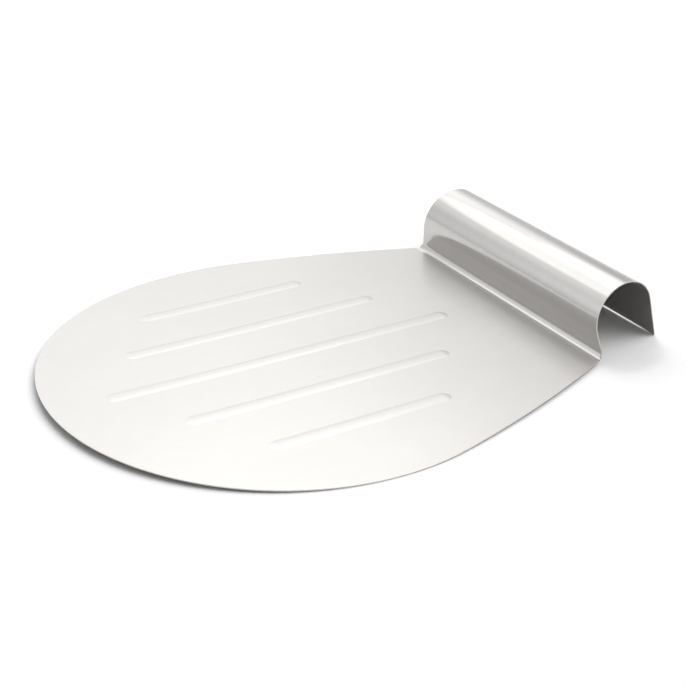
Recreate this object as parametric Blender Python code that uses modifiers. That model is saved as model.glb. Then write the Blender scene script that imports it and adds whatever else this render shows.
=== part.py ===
"""Cake lifter: one blank of stainless sheet, pressed with ribs and rolled into its handle.

Metres, +Z up. The lifter stands on the blade's two sides and on the handle's rear edge at Z = 0.
+X runs from the round front to the handle. The origin is below the middle of the whole length and
width.
"""
import math

import bmesh
import bpy
from mathutils import Vector

# Sheet
sheet_thickness = 0.0006

# Blade: a round front whose flanks run on as wide arcs to the fold
blade_radius = 0.1275
fold_reach = 0.1375
fold_width = 0.174
flank_radius = 0.640

# Form of the face: crowned from side to side, flat again at the fold, and rising to the front
blade_crown = 0.0017
front_rise = 0.0020

# Ribs: low arches raised on the face, longest in the middle
rib_pitch = 0.039
rib_rows_each_side = 2
middle_rib_length = 0.200
rib_shortening = 0.050
rib_width = 0.0086
rib_crest_width = 0.0008
rib_height = 0.0003
rib_group_offset = 0.0015

# Handle: a tight bend, a leaning front wall, a half-round crown and a splayed rear leg. Past the
# fold the blank draws in along a neck, then tapers straight to the rear edge.
bend_radius = 0.0035
front_lean = math.radians(10.0)
crown_radius = 0.0204
crown_centre_height = 0.0164
rear_splay = math.radians(18.0)
neck_length = 0.033
neck_width = 0.160
rear_edge_width = 0.150
corner_radius = 0.0010

# Facets
front_steps = 120
flank_steps = 14
rib_end_steps = 10
rib_wall_steps = 6
cuts_per_pitch = 2
front_cuts = 9
rear_cuts = 8
cut_clearance = 0.0004
bend_steps = 12
wall_steps = 5
crown_steps = 44
leg_steps = 2
corner_steps = 4
sharp_angle = math.radians(35.0)
flat_angle = math.radians(0.05)
weld_share = 0.01

# Places that follow from the sizes
side_slope = math.atan(2.0 * blade_crown / blade_radius)
front_slope = math.atan(2.0 * front_rise / blade_radius)
face_height = blade_crown + sheet_thickness * math.cos(side_slope)
front_reach = blade_radius + sheet_thickness * math.sin(front_slope)
fold_half_width = fold_width / 2.0
neck_half_width = neck_width / 2.0
rear_half_width = rear_edge_width / 2.0
rear_edge_height = sheet_thickness * math.sin(rear_splay) - face_height


def clear_scene():
    for existing in list(bpy.data.objects):
        bpy.data.objects.remove(existing, do_unlink=True)


def flank_arc():
    """Centre of the +Y flank's arc, and its angles at the fold and where it meets the front."""
    centre_gap = flank_radius - blade_radius
    corner = Vector((fold_reach, fold_half_width))
    along = (flank_radius**2 - centre_gap**2 - corner.length_squared) / (2.0 * centre_gap)
    front_angle = math.atan2(corner.y, corner.x) + math.acos(along / corner.length)
    centre = -centre_gap * Vector((math.cos(front_angle), math.sin(front_angle)))
    from_centre = corner - centre
    return centre, math.atan2(from_centre.y, from_centre.x), front_angle


def flank_points():
    """The +Y flank, from the fold's corner up to the round front."""
    centre, fold_angle, front_angle = flank_arc()
    points = []
    for step in range(flank_steps):
        angle = fold_angle + (front_angle - fold_angle) * step / flank_steps
        points.append(centre + flank_radius * Vector((math.cos(angle), math.sin(angle))))
    return points


def blank_outline():
    """The flat blank's edge, from one fold corner round the front to the other."""
    flank = flank_points()
    front_angle = flank_arc()[2]
    sweep = 2.0 * (math.pi - front_angle)
    front = []
    for step in range(front_steps + 1):
        angle = front_angle + sweep * step / front_steps
        front.append(blade_radius * Vector((math.cos(angle), math.sin(angle))))
    mirrored = [Vector((point.x, -point.y)) for point in reversed(flank)]
    return flank + front + mirrored


def stadium_outline(length, width, middle):
    """A slot with half-round ends, lying along X."""
    radius = width / 2.0
    points = []
    for side in (1.0, -1.0):
        end = middle + Vector((side * (length / 2.0 - radius), 0.0))
        for step in range(rib_end_steps + 1):
            angle = math.pi * (step / rib_end_steps - side / 2.0)
            points.append(end + radius * Vector((math.cos(angle), math.sin(angle))))
    return points


def rib_sizes():
    """Length and middle point of every rib."""
    for row in range(-rib_rows_each_side, rib_rows_each_side + 1):
        length = middle_rib_length - rib_shortening * abs(row)
        yield length, Vector((rib_group_offset, row * rib_pitch))


def add_outline(curve, points):
    spline = curve.splines.new("POLY")
    spline.points.add(len(points) - 1)
    for spline_point, point in zip(spline.points, points):
        spline_point.co = (point.x, point.y, 0.0, 1.0)
    spline.use_cyclic_u = True


def flat_blank():
    """The filled blank as a mesh, open where the ribs will be pressed."""
    curve = bpy.data.curves.new("blank_outline", "CURVE")
    curve.dimensions = "2D"
    curve.fill_mode = "BOTH"
    add_outline(curve, blank_outline())
    for length, middle in rib_sizes():
        add_outline(curve, stadium_outline(length, rib_width, middle))
    holder = bpy.data.objects.new("blank_outline", curve)
    bpy.context.scene.collection.objects.link(holder)
    evaluated = holder.evaluated_get(bpy.context.evaluated_depsgraph_get())
    mesh = bpy.data.meshes.new_from_object(evaluated)
    bpy.data.objects.remove(holder, do_unlink=True)
    return mesh


def press_ribs(sheet):
    """Close each rib opening and step its face up over an arch to a narrow flat crest."""
    reach = max(math.hypot(length / 2.0, middle.y) for length, middle in rib_sizes())
    inside = (blade_radius + reach + rib_group_offset) / 2.0
    edges = [
        edge
        for edge in sheet.edges
        if edge.is_boundary and all(vert.co.length < inside for vert in edge.verts)
    ]
    faces = bmesh.ops.holes_fill(sheet, edges=edges)["faces"]
    wall_width = (rib_width - rib_crest_width) / 2.0
    risen = 0.0
    for step in range(1, rib_wall_steps + 1):
        rise = rib_height * (1.0 - (1.0 - step / rib_wall_steps) ** 2)
        bmesh.ops.inset_individual(
            sheet,
            faces=faces,
            thickness=wall_width / rib_wall_steps,
            depth=rise - risen,
            use_even_offset=True,
        )
        risen = rise


def cut_across(sheet, faces, place, normal):
    """Add a row of edges where a plane crosses the given faces."""
    edges = {edge for face in faces for edge in face.edges}
    verts = {vert for face in faces for vert in face.verts}
    crossed = bmesh.ops.bisect_plane(
        sheet,
        geom=[*verts, *edges, *faces],
        dist=cut_clearance,
        plane_co=place,
        plane_no=normal,
    )["geom_cut"]
    for item in crossed:
        if isinstance(item, bmesh.types.BMEdge):
            item.seam = True


def merge_flat(sheet):
    """Join neighbouring flat facets, up to the rows of edges that were cut."""
    bmesh.ops.dissolve_limit(
        sheet,
        angle_limit=flat_angle,
        verts=sheet.verts[:],
        edges=sheet.edges[:],
        delimit={"SEAM"},
    )


def form_blade(sheet):
    """Cut the flat face lengthwise and crosswise, then crown it and raise its front."""
    reaches = [-blade_radius * step / front_cuts for step in range(front_cuts)]
    reaches += [fold_reach * step / rear_cuts for step in range(1, rear_cuts)]
    for reach in reaches:
        cut_across(sheet, sheet.faces[:], Vector((reach, 0.0, 0.0)), Vector((1.0, 0.0, 0.0)))
    merge_flat(sheet)
    cut_pitch = rib_pitch / cuts_per_pitch
    last_cut = math.floor(blade_radius / cut_pitch)
    for step in range(-last_cut, last_cut + 1):
        if step % cuts_per_pitch or abs(step) > rib_rows_each_side * cuts_per_pitch:
            faces = [face for face in sheet.faces if face.calc_center_median().x < reaches[-1]]
            place = Vector((0.0, step * cut_pitch, 0.0))
            cut_across(sheet, faces, place, Vector((0.0, 1.0, 0.0)))
    merge_flat(sheet)
    for vert in sheet.verts:
        crowned = min(1.0, (fold_reach - vert.co.x) / fold_reach)
        ahead = max(0.0, -vert.co.x)
        vert.co.z += front_rise * (ahead / blade_radius) ** 2
        vert.co.z -= blade_crown * (vert.co.y / blade_radius) ** 2 * crowned
    bmesh.ops.triangulate(sheet, faces=sheet.faces[:])


def arc_on(start, heading, radius, turn, steps):
    """Points that carry on from start round an arc; a positive turn bends it upward."""
    side = math.copysign(radius, turn)
    centre = start + side * Vector((-math.sin(heading), math.cos(heading)))
    points = []
    for step in range(1, steps + 1):
        angle = heading + turn * step / steps
        points.append(centre + side * Vector((math.sin(angle), -math.cos(angle))))
    return points


def straight_on(start, move, steps):
    return [start + move * (step / steps) for step in range(1, steps + 1)]


def handle_profile():
    """Side view of the outer face, from the fold (0, 0) over the crown to the rear edge."""
    wall_heading = math.pi / 2.0 + front_lean
    points = arc_on(Vector((0.0, 0.0)), 0.0, bend_radius, wall_heading, bend_steps)
    crown_start_height = crown_centre_height - crown_radius * math.sin(front_lean)
    rise = crown_start_height - points[-1].y
    points += straight_on(points[-1], Vector((-rise * math.tan(front_lean), rise)), wall_steps)
    turn = rear_splay - math.pi - front_lean
    points += arc_on(points[-1], wall_heading, crown_radius, turn, crown_steps)
    fall = points[-1].y - rear_edge_height
    points += straight_on(points[-1], Vector((fall * math.tan(rear_splay), -fall)), leg_steps)
    return points


def half_width(run, length):
    """Half the blank's width at a run past the fold, out of the handle's whole length."""
    taper = (rear_half_width - neck_half_width) / (length - neck_length)
    if run > neck_length:
        return rear_half_width - taper * (length - run)
    flank_slope = -1.0 / math.tan(flank_arc()[1])
    share = run / neck_length
    left = 1.0 - share
    across = fold_half_width * left**2 * (1.0 + 2.0 * share)
    across += neck_half_width * share**2 * (1.0 + 2.0 * left)
    return across + neck_length * share * left * (flank_slope * left - taper * share)


def roll_handle(sheet):
    """Draw the fold's edge along the handle profile, each step at its own width."""
    profile = handle_profile()
    runs = [profile[0].length]
    for before, after in zip(profile, profile[1:]):
        runs.append(runs[-1] + (after - before).length)
    edge = max(
        (edge for edge in sheet.edges if edge.is_boundary),
        key=lambda edge: edge.verts[0].co.x + edge.verts[1].co.x,
    )
    for point, run in zip(profile, runs):
        drawn = bmesh.ops.extrude_edge_only(sheet, edges=[edge])["geom"]
        verts = [item for item in drawn if isinstance(item, bmesh.types.BMVert)]
        edge = sheet.edges.get(verts)
        across = half_width(run, runs[-1])
        for vert in verts:
            vert.co = (fold_reach + point.x, math.copysign(across, vert.co.y), point.y)
    bmesh.ops.bevel(
        sheet,
        geom=list(edge.verts),
        offset=corner_radius,
        segments=corner_steps,
        profile=0.5,
        affect="VERTICES",
    )
    return profile[-1].x


def face_upward(sheet):
    bmesh.ops.recalc_face_normals(sheet, faces=sheet.faces)
    widest = max(sheet.faces, key=lambda face: abs(face.normal.z) * face.calc_area())
    if widest.normal.z < 0.0:
        bmesh.ops.reverse_faces(sheet, faces=sheet.faces)


def satin_steel():
    material = bpy.data.materials.new("satin_stainless")
    material.use_nodes = True
    shader = material.node_tree.nodes["Principled BSDF"]
    shader.inputs["Base Color"].default_value = (0.60, 0.59, 0.575, 1.0)
    shader.inputs["Metallic"].default_value = 1.0
    shader.inputs["Roughness"].default_value = 0.30
    return material


def lifter_sheet(collection):
    """Blade, ribs and handle are one sheet: the outer face is shaped, then given its gauge."""
    mesh = flat_blank()
    sheet = bmesh.new()
    sheet.from_mesh(mesh)
    bmesh.ops.remove_doubles(sheet, verts=sheet.verts, dist=weld_share * sheet_thickness)
    for face in sheet.faces:
        if face.normal.z < 0.0:
            face.normal_flip()
    press_ribs(sheet)
    form_blade(sheet)
    rear_reach = roll_handle(sheet) + fold_reach
    face_upward(sheet)
    sheet.to_mesh(mesh)
    sheet.free()

    shaped = bpy.data.objects.new("lifter_sheet", mesh)
    collection.objects.link(shaped)
    gauge = shaped.modifiers.new("gauge", "SOLIDIFY")
    gauge.thickness = sheet_thickness
    gauge.offset = -1.0
    gauge.use_even_offset = True
    gauge.use_quality_normals = True
    evaluated = shaped.evaluated_get(bpy.context.evaluated_depsgraph_get())
    solid = bpy.data.meshes.new_from_object(evaluated)
    shaped.modifiers.clear()
    shaped.data = solid
    solid.name = "lifter_sheet"
    bpy.data.meshes.remove(mesh)
    solid.shade_smooth()
    solid.set_sharp_from_angle(angle=sharp_angle)
    solid.materials.append(satin_steel())

    shaped.location = ((front_reach - rear_reach) / 2.0, 0.0, face_height)
    return shaped


clear_scene()
cake_lifter = bpy.data.collections.new("cake_lifter")
bpy.context.scene.collection.children.link(cake_lifter)
lifter_sheet(cake_lifter)
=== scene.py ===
import math

import bmesh
import bpy
from mathutils import Matrix, Vector


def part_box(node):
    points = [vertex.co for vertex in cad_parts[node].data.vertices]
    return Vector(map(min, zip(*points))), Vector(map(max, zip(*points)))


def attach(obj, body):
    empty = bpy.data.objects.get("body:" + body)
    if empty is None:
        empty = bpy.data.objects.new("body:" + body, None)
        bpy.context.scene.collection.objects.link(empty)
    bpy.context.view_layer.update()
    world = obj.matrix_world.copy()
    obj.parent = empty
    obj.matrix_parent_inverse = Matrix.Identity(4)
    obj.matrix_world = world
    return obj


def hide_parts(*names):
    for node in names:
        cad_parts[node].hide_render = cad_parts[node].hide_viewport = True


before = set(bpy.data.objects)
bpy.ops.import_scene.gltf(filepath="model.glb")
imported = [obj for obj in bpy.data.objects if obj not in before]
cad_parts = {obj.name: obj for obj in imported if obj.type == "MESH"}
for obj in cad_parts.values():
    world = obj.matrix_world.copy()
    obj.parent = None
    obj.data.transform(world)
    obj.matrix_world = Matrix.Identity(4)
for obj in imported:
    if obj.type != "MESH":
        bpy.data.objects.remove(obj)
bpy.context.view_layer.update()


class Wire:
    """A socket in a node tree. Sums and products of wires add their Math nodes."""

    def __init__(self, tree, socket=None):
        self.tree = tree
        self.socket = socket

    def node(self, kind, settings=None, sockets=None):
        """A new node with its settings, then its sockets' values or links; its first output."""
        node = self.tree.nodes.new(kind)
        for name, value in (settings or {}).items():
            setattr(node, name, value)
        for name, value in (sockets or {}).items():
            socket = self.pick(node.inputs, name)
            for single in value if isinstance(value, list) else [value]:
                if isinstance(single, Wire):
                    self.tree.links.new(single.socket, socket)
                else:
                    socket.default_value = single
        shown = [socket for socket in node.outputs if socket.enabled]
        return Wire(self.tree, shown[0]) if shown else node

    @staticmethod
    def pick(sockets, name):
        if isinstance(name, int):
            return sockets[name]
        return next(socket for socket in sockets if socket.enabled and socket.name == name)

    def __getitem__(self, name):
        """Another output of the node that this wire leaves."""
        return Wire(self.tree, self.pick(self.socket.node.outputs, name))

    def maths(self, operation, *others):
        values = dict(enumerate((self, *others)))
        return self.node("ShaderNodeMath", {"operation": operation}, values)

    def __add__(self, other):
        return self.maths("ADD", other)

    def __radd__(self, other):
        return self.maths("ADD", other)

    def __sub__(self, other):
        return self.maths("SUBTRACT", other)

    def __rsub__(self, other):
        return self.node("ShaderNodeMath", {"operation": "SUBTRACT"}, {0: other, 1: self})

    def __mul__(self, other):
        return self.maths("MULTIPLY", other)

    def __rmul__(self, other):
        return self.maths("MULTIPLY", other)

    def __truediv__(self, other):
        return self.maths("DIVIDE", other)

    def __rtruediv__(self, other):
        return self.node("ShaderNodeMath", {"operation": "DIVIDE"}, {0: other, 1: self})

    def sin(self):
        return self.maths("SINE")

    def cos(self):
        return self.maths("COSINE")

    def sign(self):
        return self.maths("SIGN")

    def within(self, low, high):
        return self.maths("MAXIMUM", low).maths("MINIMUM", high)


# Satin sheet: blade, pressed ribs and handle are one blank of 0.6 mm stainless steel, cut to its
# outline, stamped with five low ribs, dished a little and rolled over a mandrel into the handle.
# The blank is laid out flat, then every point is pressed and rolled by rule, and the gauge is last.
sheet_sizes = {
    "Gauge": 0.0006,
    "Blade radius": 0.1275,
    "Fold reach": 0.1375,
    "Fold width": 0.174,
    "Flank radius": 0.640,
    "Blade crown": 0.0017,
    "Front rise": 0.0020,
    "Rib pitch": 0.039,
    "Middle rib length": 0.200,
    "Rib shortening": 0.050,
    "Rib width": 0.0086,
    "Rib crest width": 0.0008,
    "Rib height": 0.0003,
    "Rib border": 0.0012,
    "Rib group offset": 0.0015,
    "Bend radius": 0.0035,
    "Front lean": math.radians(10.0),
    "Crown radius": 0.0204,
    "Crown centre height": 0.01639,
    "Rear splay": math.radians(18.0),
    "Neck length": 0.033,
    "Neck width": 0.160,
    "Rear edge width": 0.150,
    "Corner radius": 0.0010,
    "Rear bow": 0.0008,
}


def sheet_tree(name, takes_sheet):
    """A new tree whose inputs are the sheet's sizes and its steel, and the name of each socket."""
    tree = bpy.data.node_groups.new(name, "GeometryNodeTree")
    if takes_sheet:
        tree.interface.new_socket("Sheet", in_out="INPUT", socket_type="NodeSocketGeometry")
    socket_ids = {}
    for size_name in sheet_sizes:
        socket = tree.interface.new_socket(size_name, in_out="INPUT", socket_type="NodeSocketFloat")
        socket_ids[size_name] = socket.identifier
    socket = tree.interface.new_socket("Steel", in_out="INPUT", socket_type="NodeSocketMaterial")
    socket_ids["Steel"] = socket.identifier
    tree.interface.new_socket("Sheet", in_out="OUTPUT", socket_type="NodeSocketGeometry")
    return Wire(tree), socket_ids


def point(bench, x, y, z=0.0):
    return bench.node("ShaderNodeCombineXYZ", sockets={"X": x, "Y": y, "Z": z})


def place(bench):
    """The X and Y of each point where it stands now."""
    position = bench.node("GeometryNodeInputPosition")
    split = bench.node("ShaderNodeSeparateXYZ", sockets={"Vector": position})
    return split["X"], split["Y"]


def moved(bench, geometry, position):
    sockets = {"Geometry": geometry, "Position": position}
    return bench.node("GeometryNodeSetPosition", sockets=sockets)


def flank_angles(bench, size):
    """Half the fold's width, and the flank arc's turns where it meets the front and the fold."""
    half_fold = size["Fold width"] / 2.0
    gap = size["Flank radius"] - size["Blade radius"]
    corner_reach = (size["Fold reach"] * size["Fold reach"] + half_fold * half_fold).maths("SQRT")
    along = size["Flank radius"] * size["Flank radius"] - gap * gap - corner_reach * corner_reach
    front_angle = half_fold.maths("ARCTAN2", size["Fold reach"])
    front_angle = front_angle + (along / (2.0 * gap * corner_reach)).maths("ARCCOSINE")
    fold_angle = (half_fold + gap * front_angle.sin()).maths(
        "ARCTAN2", size["Fold reach"] + gap * front_angle.cos()
    )
    return half_fold, front_angle, fold_angle


def handle_runs(size):
    """The turn of the bend, and how far the blank runs over bend, wall, crown and leg."""
    bend_turn = math.pi / 2.0 + size["Front lean"]
    bend_run = size["Bend radius"] * bend_turn
    bend_rise = size["Bend radius"] * (1.0 - bend_turn.cos())
    wall_top = size["Crown centre height"] - size["Crown radius"] * size["Front lean"].sin()
    wall_run = (wall_top - bend_rise) / size["Front lean"].cos()
    crown_run = size["Crown radius"] * (math.pi + size["Front lean"] - size["Rear splay"])
    side_slope = (2.0 * size["Blade crown"] / size["Blade radius"]).maths("ARCTANGENT")
    rear_fall = size["Blade crown"] + size["Gauge"] * (side_slope.cos() - size["Rear splay"].sin())
    leg_top = size["Crown centre height"] + size["Crown radius"] * size["Rear splay"].sin()
    leg_run = (leg_top + rear_fall) / size["Rear splay"].cos()
    return bend_turn, bend_run, wall_run, crown_run, leg_run


# Outline: a round front and two wide flank arcs that meet it without a corner.
laying, laying_ids = sheet_tree("lay_out_blank", False)
bench = laying
size = bench.node("NodeGroupInput")
half_fold, front_angle, fold_angle = flank_angles(bench, size)
front_steps = 180
flank_steps = 24
counted = front_steps + flank_steps
line = bench.node(
    "GeometryNodeMeshLine",
    {"mode": "OFFSET"},
    {"Count": 2 * counted + 1, "Start Location": (-counted, 0.0, 0.0), "Offset": (1.0, 0.0, 0.0)},
)
step, _ = place(bench)
steps_out = step.maths("ABSOLUTE")
front_share = (steps_out / front_steps).within(0.0, 1.0)
front_turn = math.pi - front_share * (math.pi - front_angle)
flank_share = ((steps_out - front_steps) / flank_steps).within(0.0, 1.0)
flank_turn = front_angle + flank_share * (fold_angle - front_angle)
outline_x = size["Blade radius"] * front_turn.cos() + size["Flank radius"] * (
    flank_turn.cos() - front_angle.cos()
)
outline_y = size["Blade radius"] * front_turn.sin() + size["Flank radius"] * (
    flank_turn.sin() - front_angle.sin()
)
outline = bench.node("GeometryNodeMeshToCurve", sockets={"Mesh": line})
outline = moved(bench, outline, point(bench, outline_x, step.sign() * outline_y))
outline = bench.node("GeometryNodeSetSplineCyclic", sockets={"Geometry": outline, "Cyclic": True})

# Ribs: five slots with half-round ends, longest in the middle; each keeps its arch as "pressed".
rib_rows = 2
rings = 20
rib_corners = 40
row_gap = 2.0
weld_distance = 1e-6
ring_grid = bench.node(
    "GeometryNodeMeshGrid",
    sockets={"Size X": 1.0, "Size Y": 1.0, "Vertices X": rings + 1, "Vertices Y": rib_corners + 1},
)
rows = bench.node(
    "GeometryNodeMeshLine",
    {"mode": "OFFSET"},
    {
        "Count": 2 * rib_rows + 1,
        "Start Location": (0.0, -row_gap * rib_rows, 0.0),
        "Offset": (0.0, row_gap, 0.0),
    },
)
ribs = bench.node("GeometryNodeInstanceOnPoints", sockets={"Points": rows, "Instance": ring_grid})
ribs = bench.node("GeometryNodeRealizeInstances", sockets={"Geometry": ribs})
grid_x, grid_y = place(bench)
row = (grid_y / row_gap).maths("ROUND")
turn = (grid_y - row_gap * row + 0.5 + 0.5 / rib_corners) * (2.0 * math.pi)
from_axis = (grid_x + 0.5) * (size["Rib width"] / 2.0 + size["Rib border"])
past_crest = 2.0 * from_axis - size["Rib crest width"]
down_wall = (past_crest / (size["Rib width"] - size["Rib crest width"])).within(0.0, 1.0)
ribs = bench.node(
    "GeometryNodeStoreNamedAttribute",
    {"data_type": "FLOAT", "domain": "POINT"},
    {"Geometry": ribs, "Name": "pressed", "Value": 1.0 - down_wall * down_wall},
)
rib_length = size["Middle rib length"] - size["Rib shortening"] * row.maths("ABSOLUTE")
straight = rib_length - size["Rib width"]
rib_x = from_axis * turn.cos() + turn.cos().sign() * straight / 2.0 + size["Rib group offset"]
rib_y = from_axis * turn.sin() + row * size["Rib pitch"]
ribs = moved(bench, ribs, point(bench, rib_x, rib_y))
ribs = bench.node(
    "GeometryNodeMergeByDistance", sockets={"Geometry": ribs, "Distance": weld_distance}
)
on_rim = bench.node("GeometryNodeInputMeshEdgeNeighbors").maths("COMPARE", 1.0, 0.1)
rib_edges = bench.node("GeometryNodeMeshToCurve", sockets={"Mesh": ribs, "Selection": on_rim})
flat = bench.node("GeometryNodeJoinGeometry", sockets={"Geometry": [outline, rib_edges]})
flat = bench.node("GeometryNodeFillCurve", sockets={"Curve": flat})
flat = bench.node(
    "GeometryNodeStoreNamedAttribute",
    {"data_type": "FLOAT", "domain": "FACE"},
    {"Geometry": flat, "Name": "filled", "Value": 1.0},
)

# Handle blank: beyond the fold the blank draws in along a neck, then tapers to the rear edge.
bend_turn, bend_run, wall_run, crown_run, leg_run = handle_runs(size)
whole_run = bend_run + wall_run + crown_run + leg_run
tail_steps = 300
corner_steps = 8
tail = bench.node(
    "GeometryNodeMeshGrid",
    sockets={"Size X": 1.0, "Size Y": 2.0, "Vertices X": tail_steps + 1, "Vertices Y": 2},
)
tail_x, tail_y = place(bench)
reached = (tail_x + 0.5) * (tail_steps / (tail_steps - corner_steps))
corner_share = (reached - 1.0) * ((tail_steps - corner_steps) / corner_steps)
rounded = corner_share.within(0.0, 1.0) * (math.pi / 2.0)
run = (whole_run - size["Corner radius"]) * reached.within(0.0, 1.0)
run = run + size["Corner radius"] * rounded.sin()
neck_half = size["Neck width"] / 2.0
taper = (size["Rear edge width"] / 2.0 - neck_half) / (whole_run - size["Neck length"])
drawn = (run / size["Neck length"]).within(0.0, 1.0)
left = 1.0 - drawn
flank_slope = -1.0 / fold_angle.maths("TANGENT")
across = half_fold * left * left * (1.0 + 2.0 * drawn)
across = across + neck_half * drawn * drawn * (1.0 + 2.0 * left)
across = across + size["Neck length"] * drawn * left * (flank_slope * left - taper * drawn)
across = across + taper * (run - size["Neck length"]).within(0.0, 1.0)
across = across - size["Corner radius"] * (1.0 - rounded.cos())
tail = moved(bench, tail, point(bench, size["Fold reach"] + run, tail_y * across))
blank = bench.node("GeometryNodeJoinGeometry", sockets={"Geometry": [flat, ribs, tail]})
blank = bench.node(
    "GeometryNodeMergeByDistance", sockets={"Geometry": blank, "Distance": weld_distance}
)
blank = bench.node("GeometryNodeRealizeInstances", sockets={"Geometry": blank})
blank = bench.node(
    "GeometryNodeSetMaterial", sockets={"Geometry": blank, "Material": size["Steel"]}
)
bench.node("NodeGroupOutput", sockets={"Sheet": blank})

# Pressing and rolling: the flat blank's own coordinates stay as the UV map that the grain follows,
# and each stretch of the profile moves a point on by as much of it as the point has passed.
rolling, rolling_ids = sheet_tree("press_and_roll", True)
bench = rolling
size = bench.node("NodeGroupInput")
blank_x, blank_y = place(bench)
blank = bench.node(
    "GeometryNodeStoreNamedAttribute",
    {"data_type": "FLOAT2", "domain": "CORNER"},
    {"Geometry": size["Sheet"], "Name": "blank", "Value": point(bench, blank_x, blank_y)},
)
bend_turn, bend_run, wall_run, crown_run, leg_run = handle_runs(size)
beyond = blank_x - size["Fold reach"]
bent = beyond.within(0.0, bend_run) / size["Bend radius"]
walled = (beyond - bend_run).within(0.0, wall_run)
crowned = bend_turn - (beyond - bend_run - wall_run).within(0.0, crown_run) / size["Crown radius"]
bow_power = 6.0
bowed = (2.0 * blank_y / size["Rear edge width"]).maths("POWER", bow_power)
short = size["Rear bow"] * (1.0 - bowed.within(0.0, 1.0))
legged = (beyond - bend_run - wall_run - crown_run).within(0.0, leg_run) * (1.0 - short / leg_run)
rolled_x = size["Bend radius"] * bent.sin() - walled * size["Front lean"].sin()
rolled_x = rolled_x + size["Crown radius"] * (bend_turn.sin() - crowned.sin())
rolled_x = rolled_x + legged * size["Rear splay"].sin()
rolled_z = size["Bend radius"] * (1.0 - bent.cos()) + walled * size["Front lean"].cos()
rolled_z = rolled_z + size["Crown radius"] * (crowned.cos() - bend_turn.cos())
rolled_z = rolled_z - legged * size["Rear splay"].cos()
pressed = bench.node("GeometryNodeInputNamedAttribute", {"data_type": "FLOAT"}, {"Name": "pressed"})
ahead = (-1.0 * blank_x / size["Blade radius"]).within(0.0, 1.0)
aside = blank_y / size["Blade radius"]
fade = 0.2
toward_fold = blank_x / size["Fold reach"]
eased = (toward_fold + fade).within(0.0, 2.0 * fade)
faded = eased * eased / (4.0 * fade) + (toward_fold - fade).within(0.0, 1.0 - fade)
formed_z = rolled_z + size["Rib height"] * pressed + size["Front rise"] * ahead * ahead
formed_z = formed_z - size["Blade crown"] * aside * aside * (1.0 - faded)
flat_x = blank_x.maths("MINIMUM", size["Fold reach"])
sheet = moved(bench, blank, point(bench, flat_x + rolled_x, blank_y, formed_z))
sheet = bench.node("GeometryNodeSetShadeSmooth", sockets={"Geometry": sheet})
sheet = bench.node("GeometryNodeRealizeInstances", sockets={"Geometry": sheet})
sheet = bench.node(
    "GeometryNodeSetMaterial", sockets={"Geometry": sheet, "Material": size["Steel"]}
)
bench.node("NodeGroupOutput", sockets={"Sheet": sheet})


def stretched(steel, along, across, detail, seed):
    """Noise on the blank, with so many grains to the metre along it and across it."""
    blank = steel.node("ShaderNodeUVMap", {"uv_map": "blank"})
    scaled = steel.node(
        "ShaderNodeVectorMath", {"operation": "MULTIPLY"}, {0: blank, 1: (along, across, 1.0)}
    )
    sockets = {"Vector": scaled, "W": seed, "Scale": 1.0, "Detail": detail, "Roughness": 0.55}
    return steel.node("ShaderNodeTexNoise", {"noise_dimensions": "4D"}, sockets)


def tinted(steel, share, low, high):
    """A colour from low to high."""
    settings = {"data_type": "RGBA", "clamp_factor": True}
    return steel.node("ShaderNodeMix", settings, {"Factor": share, 6: low, 7: high})["Result"]


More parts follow.
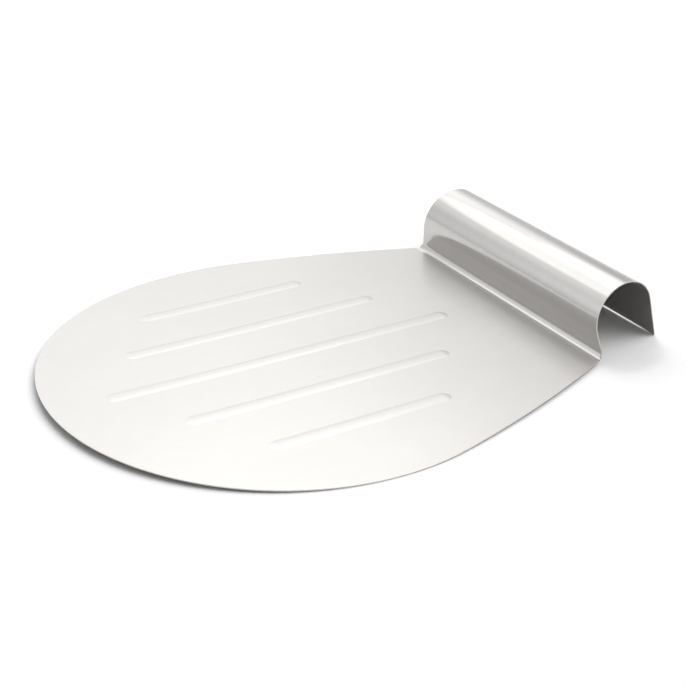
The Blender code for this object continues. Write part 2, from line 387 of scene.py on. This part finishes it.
def satin_steel():
    """Satin stainless: grain along the blank, clouds, faint scuffs, burnished where rolled."""
    dark_steel = (0.480, 0.469, 0.456, 1.0)
    light_steel = (0.532, 0.520, 0.506, 1.0)
    blade_roughness, handle_roughness = 0.43, 0.16
    blade_coat, handle_coat = 0.2, 0.7
    burnish_start, burnish_fade = 0.1355, 0.004
    hairline_width = 0.0025
    rubbed_from, rubbed_over = 0.52, 0.1
    grain_depth = 0.00001
    cloud_tone, mottle_tone, grain_tone, scuff_tone = 0.9, 0.5, 0.35, 0.25
    uneven_polish, scuff_polish = 0.05, 0.04
    middle = 0.5

    material = bpy.data.materials.new("satin_stainless")
    material.use_nodes = True
    shader = material.node_tree.nodes["Principled BSDF"]
    shader.inputs["Metallic"].default_value = 1.0
    shader.inputs["Coat Roughness"].default_value = 0.1
    shader.inputs["Coat IOR"].default_value = 1.5
    steel = Wire(material.node_tree)
    blank = steel.node("ShaderNodeUVMap", {"uv_map": "blank"})
    run = steel.node("ShaderNodeSeparateXYZ", sockets={"Vector": blank})["X"]
    rolled = ((run - burnish_start) / burnish_fade).within(0.0, 1.0)

    grain = stretched(steel, along=55.0, across=2200.0, detail=3.0, seed=0.0)
    cloud = stretched(steel, along=14.0, across=22.0, detail=3.0, seed=4.0)
    mottle = stretched(steel, along=90.0, across=160.0, detail=2.0, seed=9.0)
    lines = stretched(steel, along=9.0, across=30.0, detail=1.0, seed=17.0)
    patches = stretched(steel, along=12.0, across=12.0, detail=1.0, seed=23.0)
    from_line = (lines - middle).maths("ABSOLUTE")
    rubbed = (patches - rubbed_from).within(0.0, rubbed_over) / rubbed_over
    scuff = (1.0 - from_line / hairline_width).within(0.0, 1.0) * rubbed

    tone = middle + (cloud - middle) * cloud_tone + (mottle - middle) * mottle_tone
    tone = tone + (grain - middle) * grain_tone + scuff * scuff_tone
    colour = tinted(steel, tone.within(0.0, 1.0), dark_steel, light_steel)
    steel.tree.links.new(colour.socket, shader.inputs["Base Color"])
    rough = blade_roughness - (blade_roughness - handle_roughness) * rolled
    rough = rough + (cloud - middle) * uneven_polish + (grain - middle) * uneven_polish
    rough = rough - scuff * scuff_polish
    steel.tree.links.new(rough.within(0.1, 0.6).socket, shader.inputs["Roughness"])
    coat = blade_coat + (handle_coat - blade_coat) * rolled
    steel.tree.links.new(coat.socket, shader.inputs["Coat Weight"])
    bump = steel.node(
        "ShaderNodeBump", sockets={"Strength": 0.3, "Distance": grain_depth, "Height": grain}
    )
    steel.tree.links.new(bump.socket, shader.inputs["Normal"])
    return material


def sheared_edge():
    """The cut rim: brighter bare steel, with short lines where it was sheared and deburred."""
    dull_cut = (0.50, 0.495, 0.485, 1.0)
    bright_cut = (0.68, 0.675, 0.665, 1.0)
    shear_tone, worn_tone = 0.6, 0.4
    smoothest, roughening = 0.24, 0.2
    shear_depth = 0.00002

    material = bpy.data.materials.new("sheared_edge")
    material.use_nodes = True
    shader = material.node_tree.nodes["Principled BSDF"]
    shader.inputs["Metallic"].default_value = 1.0
    steel = Wire(material.node_tree)
    shear = stretched(steel, along=700.0, across=700.0, detail=2.0, seed=31.0)
    worn = stretched(steel, along=60.0, across=60.0, detail=2.0, seed=37.0)
    share = (shear * shear_tone + worn * worn_tone).within(0.0, 1.0)
    colour = tinted(steel, share, dull_cut, bright_cut)
    steel.tree.links.new(colour.socket, shader.inputs["Base Color"])
    rough = smoothest + shear * roughening
    steel.tree.links.new(rough.socket, shader.inputs["Roughness"])
    bump = steel.node(
        "ShaderNodeBump", sockets={"Strength": 0.3, "Distance": shear_depth, "Height": shear}
    )
    steel.tree.links.new(bump.socket, shader.inputs["Normal"])
    return material


satin = satin_steel()
lifter = bpy.data.objects.new("satin_sheet", bpy.data.meshes.new("satin_sheet"))
bpy.context.scene.collection.objects.link(lifter)


def apply_modifiers():
    """The sheet's modifiers end as its plain mesh."""
    worked = lifter.evaluated_get(bpy.context.evaluated_depsgraph_get())
    mesh = bpy.data.meshes.new_from_object(worked)
    lifter.modifiers.clear()
    lifter.data = mesh


def run_tree(bench, socket_ids):
    """One of the trees on the sheet, as a modifier that has the sheet's sizes and its steel."""
    working = lifter.modifiers.new(bench.tree.name, "NODES")
    working.node_group = bench.tree
    for size_name, value in sheet_sizes.items():
        working[socket_ids[size_name]] = value
    working[socket_ids["Steel"]] = satin


run_tree(laying, laying_ids)
apply_modifiers()

# The filled outline has only long triangles, so it is cut lengthwise and crosswise before it bends.
cutting = bmesh.new()
cutting.from_mesh(lifter.data)
filled = cutting.faces.layers.float["filled"]
cuts_per_rib = 6
cut_pitch = sheet_sizes["Rib pitch"] / cuts_per_rib
clearance = 0.0003
same_plane = math.radians(0.05)


def beyond_fold(face):
    return face.calc_center_median().x > sheet_sizes["Fold reach"]


def cut_across(faces, at, normal):
    """A row of edges where a plane crosses the faces; a corner within the clearance is used."""
    edges = {edge for face in faces for edge in face.edges}
    verts = {vert for face in faces for vert in face.verts}
    crossed = bmesh.ops.bisect_plane(
        cutting, geom=[*verts, *edges, *faces], dist=clearance, plane_co=at, plane_no=normal
    )
    for item in crossed["geom_cut"]:
        if isinstance(item, bmesh.types.BMEdge):
            item.seam = True


def merge_filled():
    """Join neighbouring facets of the filled face, up to the rows of edges that were cut."""
    facets = [face for face in cutting.faces if face[filled] > 0.5]
    edges = {edge for face in facets for edge in face.edges}
    bmesh.ops.dissolve_limit(
        cutting,
        angle_limit=same_plane,
        verts=list({vert for face in facets for vert in face.verts}),
        edges=[edge for edge in edges if all(face[filled] > 0.5 for face in edge.link_faces)],
        delimit={"SEAM"},
    )


blade_length = sheet_sizes["Blade radius"] + sheet_sizes["Fold reach"]
for step in range(1, math.ceil(blade_length / cut_pitch)):
    reach = step * cut_pitch - sheet_sizes["Blade radius"]
    faces = [face for face in cutting.faces if not beyond_fold(face)]
    cut_across(faces, Vector((reach, 0.0, 0.0)), Vector((1.0, 0.0, 0.0)))
merge_filled()
last_cut = math.floor(sheet_sizes["Blade radius"] / cut_pitch)
for step in range(-last_cut, last_cut + 1):
    if step % cuts_per_rib or abs(step) > cuts_per_rib * rib_rows:
        faces = [face for face in cutting.faces if face[filled] > 0.5 or beyond_fold(face)]
        cut_across(faces, Vector((0.0, step * cut_pitch, 0.0)), Vector((0.0, 1.0, 0.0)))
merge_filled()
bmesh.ops.triangulate(cutting, faces=[face for face in cutting.faces if len(face.verts) > 4])
cutting.to_mesh(lifter.data)
cutting.free()

# The pressed and rolled face is the blade's upper one and the handle's outer one. The gauge grows
# from it to the other side, the cut rim is deburred, and the sheet is set where the CAD sheet is.
run_tree(rolling, rolling_ids)
lifter.data.materials.append(sheared_edge())
gauge = lifter.modifiers.new("gauge", "SOLIDIFY")
gauge.thickness = sheet_sizes["Gauge"]
gauge.offset = -1.0
gauge.use_even_offset = True
gauge.use_quality_normals = True
gauge.material_offset_rim = 1
edge = lifter.modifiers.new("deburred_edge", "BEVEL")
edge.width = 0.00012
edge.segments = 2
edge.limit_method = "ANGLE"
edge.angle_limit = math.radians(50.0)
weighted = lifter.modifiers.new("flat_faces_stay_flat", "WEIGHTED_NORMAL")
weighted.weight = 80
apply_modifiers()
lifter.data.name = "satin_sheet"
low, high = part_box("lifter_sheet")
side_slope = math.atan(2.0 * sheet_sizes["Blade crown"] / sheet_sizes["Blade radius"])
front_slope = math.atan(2.0 * sheet_sizes["Front rise"] / sheet_sizes["Blade radius"])
face_height = sheet_sizes["Blade crown"] + sheet_sizes["Gauge"] * math.cos(side_slope)
front_reach = sheet_sizes["Blade radius"] + sheet_sizes["Gauge"] * math.sin(front_slope)
lifter.data.transform(Matrix.Translation((low.x + front_reach, 0.0, low.z + face_height)))
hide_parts("lifter_sheet")
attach(lifter, "root")


# Table: a plain matt white top, far larger than the view. It takes the shadow and isn't part of
# the lifter.
white = bpy.data.materials.new("white_table")
white.use_nodes = True
white_shader = white.node_tree.nodes["Principled BSDF"]
white_shader.inputs["Base Color"].default_value = (0.9, 0.9, 0.9, 1.0)
white_shader.inputs["Roughness"].default_value = 0.9
white_shader.inputs["Specular IOR Level"].default_value = 0.0
table_mesh = bpy.data.meshes.new("table")
half = 6.0
table_mesh.from_pydata(
    [(-half, -half, 0.0), (half, -half, 0.0), (half, half, 0.0), (-half, half, 0.0)],
    [],
    [(0, 1, 2, 3)],
)
table = bpy.data.objects.new("table", table_mesh)
table_mesh.materials.append(white)
bpy.context.scene.collection.objects.link(table)


# Studio: a dim white room that the camera sees as plain white. Soft panels stand behind the object
# and to its right, and the steel also mirrors a faint glow from the camera's side. Two small high
# lamps behind the object cast its shadow, and two weak close ones lighten the front of the blade.
def toward(turned, raised):
    """A direction, in degrees turned from +Y towards +X and raised from the table."""
    turned, raised = math.radians(turned), math.radians(raised)
    level = math.cos(raised)
    return Vector((math.sin(turned) * level, math.cos(turned) * level, math.sin(raised)))


world = bpy.data.worlds.new("studio")
bpy.context.scene.world = world
world.use_nodes = True
room = Wire(world.node_tree)
background = world.node_tree.nodes["Background"]
look = room.node("ShaderNodeTexCoord")["Generated"]


def soft_panel(turned, raised, spread):
    """How strongly a direction sees a panel: 1 at its middle, fading over its spread in degrees."""
    facing = room.node(
        "ShaderNodeVectorMath", {"operation": "DOT_PRODUCT"}, {0: look, 1: toward(turned, raised)}
    )
    return ((facing - 1.0) / math.radians(spread) ** 2).maths("EXPONENT")


# Each panel: turned, raised, spread, brightness.
panels = [
    (-50.0, 4.0, 10.0, 0.38),
    (-30.0, 4.0, 10.0, 0.47),
    (10.0, 4.0, 10.0, 0.11),
    (30.0, 4.0, 10.0, 0.16),
    (50.0, 4.0, 10.0, 0.45),
    (-50.0, 20.0, 10.0, 0.79),
    (10.0, 20.0, 10.0, 1.53),
    (30.0, 20.0, 10.0, 0.53),
    (-30.0, 36.0, 10.0, 0.87),
    (-10.0, 36.0, 10.0, 0.31),
    (10.0, 36.0, 10.0, 0.59),
    (30.0, 36.0, 10.0, 0.76),
    (-10.0, 52.0, 10.0, 0.36),
    (120.0, 55.0, 20.0, 3.43),
]
wall_tone = 0.23
glow_tone = 0.5
room_tone = wall_tone
for turned, raised, spread, brightness in panels:
    room_tone = room_tone + brightness * soft_panel(turned, raised, spread)
ray = room.node("ShaderNodeLightPath")
seen, mirrored = ray["Is Camera Ray"], ray["Is Glossy Ray"]
room_tone = room_tone + mirrored * glow_tone * soft_panel(turned=210.0, raised=30.0, spread=40.0)
tone = seen + (1.0 - seen) * room_tone
world.node_tree.links.new(tone.socket, background.inputs["Strength"])
background.inputs["Color"].default_value = (1.0, 1.0, 1.0, 1.0)

# Each lamp: name, the point on the table that it aims at, turned, raised, distance, width, watts.
lamps = [
    ("rear_lamp", (0.0, 0.0), 10.0, 60.0, 3.0, 0.525, 9.4),
    ("right_lamp", (0.0, 0.0), 34.0, 52.0, 3.0, 0.525, 3.5),
    ("front_glow", (-0.09, -0.06), 30.0, 45.0, 0.5, 0.3, 0.16),
    ("side_glow", (-0.10, -0.09), 60.0, 40.0, 0.5, 0.3, 0.10),
]
for name, aim, turned, raised, distance, width, watts in lamps:
    lamp = bpy.data.lights.new(name, "AREA")
    lamp.shape = "DISK"
    lamp.size = width
    lamp.energy = watts
    holder = bpy.data.objects.new(name, lamp)
    bpy.context.scene.collection.objects.link(holder)
    direction = toward(turned, raised)
    holder.location = Vector((*aim, 0.0)) + direction * distance
    holder.rotation_mode = "QUATERNION"
    holder.rotation_quaternion = direction.to_track_quat("Z", "Y")
    holder.visible_camera = False

bpy.context.scene.view_settings.view_transform = "Standard"


# Camera: looks down over the blade towards the handle. Its lens, direction and distance are those
# that the perspective of the photograph gives.
camera_data = bpy.data.cameras.new("camera")
camera = bpy.data.objects.new("camera", camera_data)
bpy.context.scene.collection.objects.link(camera)
camera_data.lens = 72.52
camera_data.sensor_width = 36.0
looked_at = Vector((0.004075, -0.00271, 0.0023))
camera_distance = 0.73374
away = toward(209.97, 26.80)
camera.location = looked_at + away * camera_distance
camera.rotation_mode = "QUATERNION"
camera.rotation_quaternion = (-away).to_track_quat("-Z", "Y")
bpy.context.scene.camera = camera
